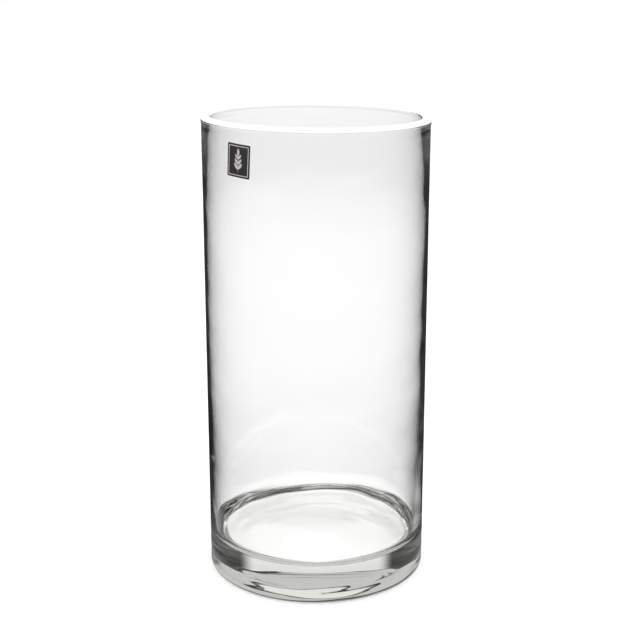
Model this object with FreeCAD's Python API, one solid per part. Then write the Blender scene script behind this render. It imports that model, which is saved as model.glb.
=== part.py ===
"""A clear glass cylinder vase with a thick base, and the small foil-stamped label stuck on its wall.

The vase stands on z = 0 with its axis on Z, and its front faces -Y. Lengths are in millimetres.
The glass is one solid of revolution. The label is four thin layers bent round the wall: the glue, the
black film, a silver frame line and a silver leaf sprig, each lying face to face on the one below.
"""

import FreeCAD, Part
import math
import os

# Outer shape of the glass
HEIGHT = 310.0
BODY_RADIUS = 74.0
LIP_RADIUS = 74.8
LIP_DROP = 2.8
FLARE_HEIGHT = 5.0
FOOT_ROUND = 2.5
FOOT_RING_INNER_RADIUS = 63.0
PUNT_HEIGHT = 1.2

# Inner shape of the glass
CROWN_RADIUS = 70.6
MOUTH_RADIUS = 68.2
MOUTH_LENGTH = 6.0
THIN_WALL = 2.2
THIN_WALL_HEIGHT = 225.0
LOW_WALL = 3.6
FLOOR_THICKNESS = 24.0
FLOOR_ROUND = 8.0

# Label: its size, and where its middle sits on the wall
LABEL_WIDTH = 18.2
LABEL_HEIGHT = 20.5
LABEL_CORNER = 0.8
LABEL_CENTRE_HEIGHT = 288.4
LABEL_LEFT_OF_FRONT_DEG = 39.6
LABEL_CLOCKWISE_TILT_DEG = 3.4

# Label layers, from the glass outwards
GLUE_THICKNESS = 0.05
GLUE_INSET = 0.3
FILM_THICKNESS = 0.15
FOIL_THICKNESS = 0.05

# Foil print
FRAME_INSET = 1.1
FRAME_LINE = 0.5
FRAME_CORNER = 0.4
STEM_LENGTH = 12.6
STEM_WIDTH = 0.45
LEAF_LENGTH = 5.0
LEAF_WIDTH = 1.9
LEAF_SPREAD_DEG = 38.0
LEAF_PAIRS = 3
LEAF_SPACING = 3.1
LOWEST_LEAF = 2.2
LEAF_SHRINK = 0.12

Z_AXIS = FreeCAD.Vector(0, 0, 1)


def at(radius, z):
    """A point of the glass profile, which lies in the XZ plane."""
    return FreeCAD.Vector(radius, 0, z)


def line(start, end):
    return Part.LineSegment(start, end).toShape()


def tangent_arc(start, direction, end):
    """The arc that leaves start along direction and ends at end."""
    chord = end - start
    chord_direction = FreeCAD.Vector(chord).normalize()
    halfway = (FreeCAD.Vector(direction).normalize() + chord_direction).normalize()
    middle = start + halfway * (chord.Length / (2 * halfway.dot(chord_direction)))
    return Part.Arc(start, middle, end).toShape()


def glass_body():
    """The blown glass: thick floor, thin wall that swells to a lip, ring foot under a low punt.

    The lip is rounded on the inside and slopes down from its crown to a crisp outer edge.
    """
    up, down, outwards = at(0, 1), at(0, -1), at(1, 0)
    lip_inner_round = CROWN_RADIUS - MOUTH_RADIUS

    floor_middle = at(0, FLOOR_THICKNESS)
    fillet_top = at(BODY_RADIUS - LOW_WALL, FLOOR_THICKNESS + FLOOR_ROUND)
    fillet_foot = at(fillet_top.x - FLOOR_ROUND, FLOOR_THICKNESS)
    thinnest = at(BODY_RADIUS - THIN_WALL, THIN_WALL_HEIGHT)
    mouth_top = at(MOUTH_RADIUS, HEIGHT - lip_inner_round)
    mouth_foot = mouth_top + down * MOUTH_LENGTH
    crown = at(CROWN_RADIUS, HEIGHT)
    lip_edge = at(LIP_RADIUS, HEIGHT - LIP_DROP)
    flare_foot = at(BODY_RADIUS, lip_edge.z - FLARE_HEIGHT)
    wall_foot = at(BODY_RADIUS, FOOT_ROUND)
    foot_edge = at(BODY_RADIUS - FOOT_ROUND, 0)
    ring_edge = at(FOOT_RING_INNER_RADIUS, 0)
    punt_middle = at(0, PUNT_HEIGHT)

    profile = [
        line(floor_middle, fillet_foot),
        tangent_arc(fillet_foot, outwards, fillet_top),
        tangent_arc(thinnest, down, fillet_top),
        tangent_arc(thinnest, up, mouth_foot),
        line(mouth_foot, mouth_top),
        tangent_arc(mouth_top, up, crown),
        tangent_arc(crown, outwards, lip_edge),
        tangent_arc(flare_foot, up, lip_edge),
        line(flare_foot, wall_foot),
        tangent_arc(wall_foot, down, foot_edge),
        line(foot_edge, ring_edge),
        tangent_arc(punt_middle, outwards, ring_edge),
        line(punt_middle, floor_middle),
    ]
    outline = Part.Wire(Part.__sortEdges__(profile))
    return Part.Face(outline).revolve(at(0, 0), Z_AXIS, 360)


def rounded_rectangle(width, height, corner):
    """A flat face centred on the origin of the XY plane."""
    half_width, half_height = width / 2, height / 2
    edges = []
    for quarter in range(4):
        across, along = (half_width, half_height) if quarter % 2 == 0 else (half_height, half_width)
        turn = FreeCAD.Rotation(Z_AXIS, 90 * quarter)
        side_start = turn.multVec(FreeCAD.Vector(across, corner - along, 0))
        side_end = turn.multVec(FreeCAD.Vector(across, along - corner, 0))
        next_side = turn.multVec(FreeCAD.Vector(across - corner, along, 0))
        edges.append(line(side_start, side_end))
        edges.append(tangent_arc(side_end, side_end - side_start, next_side))
    return Part.Face(Part.Wire(Part.__sortEdges__(edges)))


def leaf(foot, direction_deg, length, width):
    """A pointed leaf of two arcs, from its foot on the stem to its tip."""
    along = FreeCAD.Rotation(Z_AXIS, direction_deg).multVec(FreeCAD.Vector(1, 0, 0))
    across = FreeCAD.Vector(-along.y, along.x, 0)
    tip = foot + along * length
    belly = foot + along * (length / 2)
    sides = [
        Part.Arc(foot, belly + across * (width / 2), tip).toShape(),
        Part.Arc(tip, belly - across * (width / 2), foot).toShape(),
    ]
    return Part.Face(Part.Wire(sides))


def sprig_faces():
    """The stem, its pairs of leaves, which shrink towards the top, and the leaf at its tip."""
    total = STEM_LENGTH + LEAF_LENGTH / 2
    foot = FreeCAD.Vector(0, -total / 2, 0)
    faces = [leaf(foot, 90, STEM_LENGTH, STEM_WIDTH)]
    for pair in range(LEAF_PAIRS):
        start = foot + FreeCAD.Vector(0, LOWEST_LEAF + LEAF_SPACING * pair, 0)
        size = 1 - LEAF_SHRINK * pair
        for side in (-1, 1):
            direction = 90 + side * LEAF_SPREAD_DEG
            faces.append(leaf(start, direction, LEAF_LENGTH * size, LEAF_WIDTH * size))
    tip_start = foot + FreeCAD.Vector(0, total - LEAF_LENGTH, 0)
    faces.append(leaf(tip_start, 90, LEAF_LENGTH, LEAF_WIDTH))
    return faces


def wrapped_on_wall(faces, inner_radius, thickness):
    """The flat faces as a layer of that thickness, bent round the wall at the label's place."""
    reach = BODY_RADIUS * 0.1
    angle = math.radians(-90 - LABEL_LEFT_OF_FRONT_DEG)
    outwards = FreeCAD.Vector(math.cos(angle), math.sin(angle), 0)
    sideways = FreeCAD.Vector(-math.sin(angle), math.cos(angle), 0)
    facing = FreeCAD.Rotation(sideways, Z_AXIS, outwards, "ZXY")
    tilt = FreeCAD.Rotation(Z_AXIS, -LABEL_CLOCKWISE_TILT_DEG)
    start = outwards * (inner_radius - reach) + Z_AXIS * LABEL_CENTRE_HEIGHT
    prisms = []
    for face in faces:
        prism = face.extrude(Z_AXIS * (2 * reach))
        prism.Placement = FreeCAD.Placement(start, facing.multiply(tilt))
        prisms.append(prism)
    block = prisms[0].multiFuse(prisms[1:]).removeSplitter() if prisms[1:] else prisms[0]
    base = Z_AXIS * (LABEL_CENTRE_HEIGHT - LABEL_HEIGHT)
    shell = Part.makeCylinder(inner_radius + thickness, 2 * LABEL_HEIGHT, base)
    shell = shell.cut(Part.makeCylinder(inner_radius, 2 * LABEL_HEIGHT, base))
    return block.common(shell)


def label_adhesive():
    """The clear glue, which stops a little short of the film's edges."""
    face = rounded_rectangle(LABEL_WIDTH - 2 * GLUE_INSET, LABEL_HEIGHT - 2 * GLUE_INSET, LABEL_CORNER)
    return wrapped_on_wall([face], BODY_RADIUS, GLUE_THICKNESS)


def label_film():
    face = rounded_rectangle(LABEL_WIDTH, LABEL_HEIGHT, LABEL_CORNER)
    return wrapped_on_wall([face], BODY_RADIUS + GLUE_THICKNESS, FILM_THICKNESS)


def label_border_foil():
    """The thin frame line, set in from the film's edges."""
    width, height = LABEL_WIDTH - 2 * FRAME_INSET, LABEL_HEIGHT - 2 * FRAME_INSET
    outer = rounded_rectangle(width, height, FRAME_CORNER)
    inner = rounded_rectangle(width - 2 * FRAME_LINE, height - 2 * FRAME_LINE, FRAME_CORNER / 2)
    return wrapped_on_wall([outer.cut(inner).Faces[0]], BODY_RADIUS + GLUE_THICKNESS + FILM_THICKNESS, FOIL_THICKNESS)


def label_emblem_foil():
    return wrapped_on_wall(sprig_faces(), BODY_RADIUS + GLUE_THICKNESS + FILM_THICKNESS, FOIL_THICKNESS)


def write_parts():
    """One STEP file for each sub-part, named after it."""
    os.makedirs("parts", exist_ok=True)
    for build in (glass_body, label_adhesive, label_film, label_border_foil, label_emblem_foil):
        shape = build()
        shape.exportStep(f"parts/{build.__name__}.step")
        print(build.__name__, "solids", len(shape.Solids), "valid", shape.isValid(), "volume", round(shape.Volume, 3))


write_parts()
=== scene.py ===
import math

import bmesh
import bpy
from mathutils import Matrix, Vector, noise


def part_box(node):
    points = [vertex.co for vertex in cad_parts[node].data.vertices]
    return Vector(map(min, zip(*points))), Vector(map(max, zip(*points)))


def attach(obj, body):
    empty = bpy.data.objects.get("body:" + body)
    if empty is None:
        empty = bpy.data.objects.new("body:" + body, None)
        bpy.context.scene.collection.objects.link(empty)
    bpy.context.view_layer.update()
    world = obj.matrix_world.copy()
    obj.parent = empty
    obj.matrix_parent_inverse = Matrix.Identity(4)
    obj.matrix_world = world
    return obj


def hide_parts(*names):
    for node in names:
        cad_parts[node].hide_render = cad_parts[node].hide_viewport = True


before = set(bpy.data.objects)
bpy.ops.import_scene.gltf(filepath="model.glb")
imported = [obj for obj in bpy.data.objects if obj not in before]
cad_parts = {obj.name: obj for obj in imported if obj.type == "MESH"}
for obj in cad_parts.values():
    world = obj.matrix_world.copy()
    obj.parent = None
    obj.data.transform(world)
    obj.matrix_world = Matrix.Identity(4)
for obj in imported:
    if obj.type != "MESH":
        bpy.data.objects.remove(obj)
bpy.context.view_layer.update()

MM = 0.001

GLASS_LOW, GLASS_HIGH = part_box("glass_body")
HEIGHT = GLASS_HIGH.z
LIP_RADIUS = round((GLASS_HIGH.x - GLASS_LOW.x) / 2, 4)

# The glass's profile, as the CAD model has it.
BODY_RADIUS = 74.0 * MM
CROWN_RADIUS = 70.6 * MM
LIP_DROP = 2.8 * MM
FLARE_HEIGHT = 5.0 * MM
FOOT_ROUND = 2.5 * MM
FOOT_RING_INNER_RADIUS = 63.0 * MM
PUNT_HEIGHT = 1.2 * MM
MOUTH_RADIUS = 68.2 * MM
MOUTH_LENGTH = 6.0 * MM
THIN_WALL = 2.2 * MM
THIN_WALL_HEIGHT = 225.0 * MM
LOW_WALL = 3.6 * MM
FLOOR_THICKNESS = 24.0 * MM
FLOOR_ROUND = 8.0 * MM
TURNS = 288

# Where the label sits on the wall, as the CAD model has it.
LABEL_LEFT_OF_FRONT_DEG = 39.6
LABEL_CENTRE_HEIGHT = 288.4 * MM
LABEL_SEAT_RADIUS = 15.0 * MM

# How far the real glass strays from true.
RIM_TILT = 0.9 * MM
WAVE_INSIDE = 0.34 * MM
RIPPLE_INSIDE = 0.10 * MM
OFF_CENTRE_INSIDE = 0.40 * MM
WAVE_OUTSIDE = 0.10 * MM
FOLDS_LOW = 0.22 * MM
FINE_FOLDS_LOW = 0.07 * MM
FLOOR_RINGS = 0.10 * MM
FLOOR_WAVE = 0.12 * MM
UNDERSIDE_SPIRAL = 0.30 * MM
CREASE_HEIGHT = 13.0 * MM
CREASE_DEPTH = 0.14 * MM
EDGE_GROOVE_DROP = 0.9 * MM
EDGE_GROOVE_DEPTH = 0.24 * MM

# The lip's ground top, which also glows as a painted highlight, and the grey strip of painted shade under
# its outer edge.
GROUND_LIP_HIGHLIGHT_DEPTH = 4.0 * MM
GROUND_LIP_HIGHLIGHT_INSET = 0.35 * MM
PAINTED_SHADE_STRIP = 0.75 * MM

# The camera: where the eye stands, and how far down and round it looks.
LENS_MM = 72.24
SENSOR_MM = 36.0
CAMERA_DISTANCE = 0.833
CAMERA_HEIGHT = 0.4041
CAMERA_PITCH_DEG = 15.548
CAMERA_YAW_DEG = 0.177


def add_camera():
    data = bpy.data.cameras.new("camera")
    data.lens = LENS_MM
    data.sensor_width = SENSOR_MM
    data.clip_start = 0.05
    data.clip_end = 100.0
    camera = bpy.data.objects.new("camera", data)
    camera.location = (0.0, -CAMERA_DISTANCE, CAMERA_HEIGHT)
    pitch = math.radians(90.0 - CAMERA_PITCH_DEG)
    camera.rotation_euler = (pitch, 0.0, math.radians(-CAMERA_YAW_DEG))
    bpy.context.scene.collection.objects.link(camera)
    bpy.context.scene.camera = camera


def tangent_arc(start, direction, end, steps):
    """Points of the arc that leaves start along direction and ends at end, without start itself."""
    chord = end - start
    turn = direction.angle_signed(chord) * 2
    if abs(turn) < 1e-6:
        return [start.lerp(end, (i + 1) / steps) for i in range(steps)]
    radius = chord.length / (2 * math.sin(abs(turn) / 2))
    side = Vector((direction.y, -direction.x)) * math.copysign(1, turn)
    centre = start + side.normalized() * radius
    arm = start - centre
    return [centre + Matrix.Rotation(-turn * (i + 1) / steps, 2) @ arm for i in range(steps)]


def straight(start, end, steps):
    return [start.lerp(end, (i + 1) / steps) for i in range(steps)]


def glass_profile():
    """Points (radius, height) from the middle of the floor, up, over the lip and down to the punt."""
    up, down = Vector((0, 1)), Vector((0, -1))
    outwards = Vector((1, 0))
    floor_middle = Vector((0, FLOOR_THICKNESS))
    fillet_top = Vector((BODY_RADIUS - LOW_WALL, FLOOR_THICKNESS + FLOOR_ROUND))
    fillet_foot = Vector((fillet_top.x - FLOOR_ROUND, FLOOR_THICKNESS))
    thinnest = Vector((BODY_RADIUS - THIN_WALL, THIN_WALL_HEIGHT))
    mouth_top = Vector((MOUTH_RADIUS, HEIGHT - CROWN_RADIUS + MOUTH_RADIUS))
    mouth_foot = mouth_top + down * MOUTH_LENGTH
    crown = Vector((CROWN_RADIUS, HEIGHT))
    lip_edge = Vector((LIP_RADIUS, HEIGHT - LIP_DROP))
    flare_foot = Vector((BODY_RADIUS, lip_edge.y - FLARE_HEIGHT))
    wall_foot = Vector((BODY_RADIUS, FOOT_ROUND))
    foot_edge = Vector((BODY_RADIUS - FOOT_ROUND, 0))
    ring_edge = Vector((FOOT_RING_INNER_RADIUS, 0))
    punt_middle = Vector((0, PUNT_HEIGHT))
    low_wall = tangent_arc(thinnest, down, fillet_top, 60)
    points = [floor_middle]
    points += straight(floor_middle, fillet_foot, 24)
    points += tangent_arc(fillet_foot, outwards, fillet_top, 20)
    points += [*reversed(low_wall[:-1]), thinnest]
    points += tangent_arc(thinnest, up, mouth_foot, 30)
    points += straight(mouth_foot, mouth_top, 4)
    points += tangent_arc(mouth_top, up, crown, 10)
    points += tangent_arc(crown, outwards, lip_edge, 12)[:-1]
    points += [*reversed(tangent_arc(flare_foot, up, lip_edge, 12)[:-1]), flare_foot]
    points += straight(flare_foot, wall_foot, 80)
    points += tangent_arc(wall_foot, down, foot_edge, 8)
    points += straight(foot_edge, ring_edge, 4)
    points += [*reversed(tangent_arc(punt_middle, outwards, ring_edge, 20)[:-1]), punt_middle]
    return points


def ease(low, high, value):
    """0 below low, 1 above high, smooth between."""
    t = min(max((value - low) / (high - low), 0), 1)
    return t * t * (3 - 2 * t)


def swirl(place, across, along, seed):
    """Smooth noise between -1 and 1 that changes over across sideways and along in height."""
    return noise.noise(Vector((place.x / across, place.y / across, place.z / along + seed)))


def label_place():
    turn = math.radians(LABEL_LEFT_OF_FRONT_DEG)
    return Vector((-math.sin(turn) * BODY_RADIUS, -math.cos(turn) * BODY_RADIUS, LABEL_CENTRE_HEIGHT))


def dent(distance, width):
    """1 on a line, falling smoothly to 0 about two widths away from it."""
    return math.exp(-(distance / width) ** 2)


def wall_inside(place):
    lip_fade = 1 - 0.85 * ease(HEIGHT - 12 * MM, HEIGHT - 3 * MM, place.z)
    waves = WAVE_INSIDE * swirl(place, 60 * MM, 34 * MM, 3.1)
    waves += RIPPLE_INSIDE * swirl(place, 25 * MM, 13 * MM, 8.7)
    return waves * lip_fade + OFF_CENTRE_INSIDE * place.x / BODY_RADIUS


def wall_outside(place, low):
    """Waves, folds and a crease near the foot, a groove under the lip, and a true seat for the label."""
    lip_fade = 1 - 0.85 * ease(HEIGHT - 12 * MM, HEIGHT - 3 * MM, place.z)
    seat = 1 - math.exp(-((place - LABEL_PLACE).length / LABEL_SEAT_RADIUS) ** 4)
    amount = lip_fade * WAVE_OUTSIDE * swirl(place, 70 * MM, 40 * MM, 5.3)
    amount += low * FOLDS_LOW * swirl(place, 80 * MM, 4.5 * MM, 1.9)
    amount += low * FINE_FOLDS_LOW * swirl(place, 38 * MM, 1.8 * MM, 7.7)
    crease_height = CREASE_HEIGHT + 0.05 * place.x + 1.2 * MM * swirl(place, 30 * MM, 1, 2.2)
    amount -= CREASE_DEPTH * dent(place.z - crease_height, 1.0 * MM)
    amount -= EDGE_GROOVE_DEPTH * dent(place.z - (HEIGHT - LIP_DROP - EDGE_GROOVE_DROP), 0.5 * MM)
    return amount * seat


def floor_top(place, radius):
    """Fine ring lines near the corner, and soft waves all over."""
    drift = 2.5 * MM * swirl(place, 35 * MM, 35 * MM, 4.4)
    rings = math.sin((radius + drift) / (0.72 * MM)) + 0.6 * math.sin((radius - 1.5 * drift) / (0.41 * MM))
    near_corner = ease(51 * MM, 56 * MM, radius) * (1 - 0.6 * ease(65 * MM, 70 * MM, radius))
    return FLOOR_RINGS * near_corner * rings + FLOOR_WAVE * swirl(place, 22 * MM, 22 * MM, 6.2)


def underside(place, radius):
    """The spiral left by turning the hot glass, which fades out towards the middle."""
    turn = math.atan2(place.y, place.x)
    along = radius / (9 * MM) + 0.5 * math.cos(turn - 0.6)
    spiral = Vector((math.cos(turn) * 1.3, math.sin(turn) * 1.3, along))
    return UNDERSIDE_SPIRAL * noise.noise(spiral) * ease(25 * MM, 50 * MM, radius)


def unevenness(place, radius, facing):
    """How far blown glass strays from true at a place, along facing (its outward and upward parts)."""
    low = 1 - ease(FLOOR_THICKNESS, FLOOR_THICKNESS + 30 * MM, place.z)
    inside, outside = max(-facing.x, 0), max(facing.x, 0)
    floor, under = max(facing.y, 0) * low, max(-facing.y, 0) * low
    amount = inside * wall_inside(place) + outside * wall_outside(place, low)
    return amount + floor * floor_top(place, radius) + under * underside(place, radius)


LABEL_PLACE = label_place()


def rim_lift(place):
    return -RIM_TILT * place.x / LIP_RADIUS


def shaped(point, facing, angle):
    """Where a profile point lands at that angle, with the rim a little out of level and the glass uneven."""
    place = Vector((point.x * math.cos(angle), point.x * math.sin(angle), point.y))
    offset = facing * unevenness(place, point.x, facing)
    radius = point.x + offset.x
    height = point.y + offset.y + rim_lift(place) * ease(HEIGHT / 2, HEIGHT, point.y)
    return Vector((radius * math.cos(angle), radius * math.sin(angle), max(height, 0)))


def ride_and_link(piece, slot, *nodes):
    """Puts a made piece in the scene, on the vase's only body, in place of its CAD nodes."""
    bpy.context.scene.collection.objects.link(piece)
    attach(piece, "root")
    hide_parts(*nodes)


def add_rings(bm):
    """One ring of vertices for each profile point, or a single vertex on the axis."""
    points = glass_profile()
    rings = []
    for before, point, after in zip(points[:1] + points, points, points[1:] + points[-1:]):
        along = (after - before).normalized()
        facing = Vector((-along.y, along.x))
        steps = TURNS if point.x > 1e-9 else 1
        angles = [2 * math.pi * step / TURNS for step in range(steps)]
        rings.append([bm.verts.new(shaped(point, facing, angle)) for angle in angles])
    return rings


def skin_rings(bm, rings):
    for lower, upper in zip(rings, rings[1:]):
        for step in range(TURNS):
            after = (step + 1) % TURNS
            if len(lower) == 1:
                bm.faces.new((lower[0], upper[step], upper[after]))
            elif len(upper) == 1:
                bm.faces.new((lower[after], lower[step], upper[0]))
            else:
                bm.faces.new((lower[after], lower[step], upper[step], upper[after]))


def glass_material_of(face):
    """Which of the glass's materials a face has: 0 clear, 1 the ground lip with its painted highlight, 2 the
    strip of painted shade under its edge.
    """
    centre = face.calc_center_median()
    out = centre.xy.length
    on_lip = MOUTH_RADIUS + GROUND_LIP_HIGHLIGHT_INSET < out < LIP_RADIUS - 0.05 * MM
    if centre.z > HEIGHT - GROUND_LIP_HIGHLIGHT_DEPTH and on_lip and face.normal.z > 0.12:
        return 1
    if HEIGHT - LIP_DROP - PAINTED_SHADE_STRIP < centre.z - rim_lift(centre) < HEIGHT and out > BODY_RADIUS:
        return 2
    return 0


def build_glass():
    bm = bmesh.new()
    skin_rings(bm, add_rings(bm))
    bmesh.ops.recalc_face_normals(bm, faces=bm.faces)
    for face in bm.faces:
        face.smooth = True
        face.material_index = glass_material_of(face)
    mesh = bpy.data.meshes.new("glass_vase")
    bm.to_mesh(mesh)
    bm.free()
    for material in (clear_glass(), ground_lip_painted_highlight(), painted_shade_edge()):
        mesh.materials.append(material)
    piece = bpy.data.objects.new("glass_vase", mesh)
    ride_and_link(piece, "clear_glass", "glass_body")


def new_material(name):
    material = bpy.data.materials.new(name)
    material.use_nodes = True
    nodes = material.node_tree.nodes
    return material, nodes, material.node_tree.links, nodes["Principled BSDF"]


def clear_glass():
    material, nodes, links, surface = new_material("clear_glass")
    surface.inputs["Base Color"].default_value = (1, 1, 1, 1)
    surface.inputs["Transmission Weight"].default_value = 1.0
    surface.inputs["IOR"].default_value = 1.5
    surface.inputs["Roughness"].default_value = 0.0
    absorb = nodes.new("ShaderNodeVolumeAbsorption")
    absorb.inputs["Color"].default_value = (0.80, 0.82, 0.70, 1)
    absorb.inputs["Density"].default_value = 3.0
    links.new(absorb.outputs["Volume"], nodes["Material Output"].inputs["Volume"])
    return material


def painted_shade_edge():
    """A narrow, slightly grey strip of painted shade under the lip's crisp edge, which gives the thin dark
    line there.
    """
    material, nodes, links, surface = new_material("painted_shade_edge")
    # The grey of this glass is painted shade.
    surface.inputs["Base Color"].default_value = (0.84, 0.85, 0.84, 1)
    surface.inputs["Transmission Weight"].default_value = 1.0
    surface.inputs["IOR"].default_value = 1.5
    surface.inputs["Roughness"].default_value = 0.1
    return material


def ground_lip_painted_highlight():
    """The ground and softly polished top of the lip, which looks white: its pale ground finish is real, and
    its glow is a painted highlight.
    """
    material, nodes, links, surface = new_material("ground_lip_painted_highlight")
    surface.inputs["Base Color"].default_value = (0.93, 0.94, 0.93, 1)
    surface.inputs["Roughness"].default_value = 0.45
    # The glow is a painted highlight: the lip is no lamp.
    surface.inputs["Emission Color"].default_value = (1, 1, 1, 1)
    surface.inputs["Emission Strength"].default_value = 0.12
    return material


def simple(name, colour, metallic, roughness):
    material, nodes, links, surface = new_material(name)
    surface.inputs["Base Color"].default_value = (*colour, 1)
    surface.inputs["Metallic"].default_value = metallic
    surface.inputs["Roughness"].default_value = roughness
    return material


def paint(node, material):
    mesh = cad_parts[node].data
    mesh.materials.clear()
    mesh.materials.append(material)


FLOOR_DROP = 0.2 * MM
FLOOR_RADIUS = 12.0
FLOOR_GLOW = 0.26


def build_floor():
    """A pale disc under the vase. In the glass, the studio's lower half stands in for it."""
    bm = bmesh.new()
    bmesh.ops.create_circle(bm, cap_ends=True, segments=96, radius=FLOOR_RADIUS)
    mesh = bpy.data.meshes.new("studio_floor")
    bm.to_mesh(mesh)
    bm.free()
    paper = simple("studio_floor", (0.9, 0.9, 0.9), 0.0, 0.9)
    surface = paper.node_tree.nodes["Principled BSDF"]
    surface.inputs["Emission Color"].default_value = (1, 1, 1, 1)
    surface.inputs["Emission Strength"].default_value = FLOOR_GLOW
    mesh.materials.append(paper)
    floor = bpy.data.objects.new("studio_floor", mesh)
    floor.location.z = -FLOOR_DROP
    floor.visible_transmission = False
    floor.visible_glossy = False
    bpy.context.scene.collection.objects.link(floor)


def plug(tree, socket, value):
    """Puts a number or another node's output into a socket."""
    if isinstance(value, (int, float)):
        socket.default_value = value
    else:
        tree.links.new(value, socket)


def calculate(tree, operation, first, second=0.0):
    node = tree.nodes.new("ShaderNodeMath")
    node.operation = operation
    plug(tree, node.inputs[0], first)
    plug(tree, node.inputs[1], second)
    return node.outputs[0]


def ramp(tree, value, low, high, at_low, at_high):
    """at_low below low, at_high above high, smooth between."""
    node = tree.nodes.new("ShaderNodeMapRange")
    node.interpolation_type = "SMOOTHSTEP"
    names = ("Value", "From Min", "From Max", "To Min", "To Max")
    for name, number in zip(names, (value, low, high, at_low, at_high)):
        plug(tree, node.inputs[name], number)
    return node.outputs["Result"]


def blend(tree, share, first, second):
    node = tree.nodes.new("ShaderNodeMix")
    for name, value in (("Factor", share), ("A", first), ("B", second)):
        plug(tree, node.inputs[name], value)
    return node.outputs["Result"]


# The studio: panels alike all round. A height is that of a direction: -1 straight down, 1 straight up.
PANELS = 8
PANEL_MIDDLE = -0.25
PANEL_LEVEL = 1.17
PANEL_FALL = 6.0
FOOT_LEVEL = 1.15
SHALLOW_GAP = 0.08
ROOM_LEVEL = 0.03
PAPER_LEVEL = 0.6
CEILING_LEVEL = 0.4
SOFTBOX_LEVEL = 0.85
DOME_LEVEL = 1.15


def panel_height(tree, z):
    """How bright the panels are at each height: most at their middle and at their foot."""
    from_middle = calculate(tree, "SUBTRACT", z, PANEL_MIDDLE)
    squared = calculate(tree, "MULTIPLY", from_middle, from_middle)
    middle = calculate(tree, "SUBTRACT", PANEL_LEVEL, calculate(tree, "MULTIPLY", squared, PANEL_FALL))
    return calculate(tree, "MAXIMUM", middle, ramp(tree, z, -0.41, -0.38, FOOT_LEVEL, 1.0))


def panels(tree, x, y, z):
    """Soft white panels all round, with gaps between them that are deeper near the floor."""
    turn = calculate(tree, "MULTIPLY", calculate(tree, "ARCTAN2", x, y), PANELS / 2)
    across = calculate(tree, "ABSOLUTE", calculate(tree, "COSINE", turn))
    dip = calculate(tree, "MULTIPLY", calculate(tree, "POWER", across, 2.0), SHALLOW_GAP)
    high = calculate(tree, "ADD", dip, 1 - SHALLOW_GAP)
    low = calculate(tree, "POWER", across, 0.65)
    gaps = blend(tree, ramp(tree, z, -0.40, -0.29, 1.0, 0.0), high, low)
    return calculate(tree, "MULTIPLY", panel_height(tree, z), gaps)


def surroundings(tree, z):
    """What the glass mirrors: a dim room, with paper below and a ceiling above."""
    paper = ramp(tree, z, -0.46, -0.40, PAPER_LEVEL, ROOM_LEVEL)
    ceiling = ramp(tree, z, 0.16, 0.26, ROOM_LEVEL, CEILING_LEVEL)
    return calculate(tree, "MAXIMUM", paper, ceiling)


def build_studio():
    """A bright field for glass: white panels behind it, a dim room mirrored in it, a softbox over it.

    No real studio gives mirrored light a level of its own. Here it is what makes the edges dark.
    """
    world = bpy.data.worlds.new("studio")
    bpy.context.scene.world = world
    world.use_nodes = True
    tree = world.node_tree
    split = tree.nodes.new("ShaderNodeSeparateXYZ")
    tree.links.new(tree.nodes.new("ShaderNodeTexCoord").outputs["Generated"], split.inputs[0])
    x, y, z = split.outputs
    path = tree.nodes.new("ShaderNodeLightPath").outputs
    mirrored = calculate(tree, "GREATER_THAN", path["Glossy Depth"], 0.5)
    level = blend(tree, mirrored, panels(tree, x, y, z), surroundings(tree, z))
    softbox = ramp(tree, calculate(tree, "ABSOLUTE", x), 0.38, 0.52, SOFTBOX_LEVEL, ROOM_LEVEL)
    level = blend(tree, ramp(tree, z, 0.2, 0.42, 0.0, 1.0), level, softbox)
    level = blend(tree, calculate(tree, "GREATER_THAN", path["Diffuse Depth"], 0.5), level, DOME_LEVEL)
    level = blend(tree, path["Is Camera Ray"], level, 1.0)
    plug(tree, tree.nodes["Background"].inputs["Strength"], level)
    tree.nodes["Background"].inputs["Color"].default_value = (1, 1, 1, 1)


def look():
    scene = bpy.context.scene
    scene.view_settings.view_transform = "Standard"
    scene.cycles.max_bounces = 32
    scene.cycles.transmission_bounces = 32
    scene.cycles.glossy_bounces = 16
    scene.cycles.diffuse_bounces = 4
    scene.cycles.caustics_refractive = True
    scene.cycles.caustics_reflective = True


def paint_label():
    foil = (0.62, 0.57, 0.58)
    glue = simple("clear_glue", (0.82, 0.83, 0.80), 0, 0.12)
    glue.node_tree.nodes["Principled BSDF"].inputs["Transmission Weight"].default_value = 1.0
    paint("label_adhesive", glue)
    paint("label_film", simple("black_film", (0.03, 0.027, 0.028), 0, 0.4))
    paint("label_border_foil", simple("silver_foil", foil, 0.25, 0.35))
    paint("label_emblem_foil", simple("silver_foil_emblem", foil, 0.25, 0.35))


add_camera()
build_glass()
paint_label()
build_floor()
build_studio()
look()
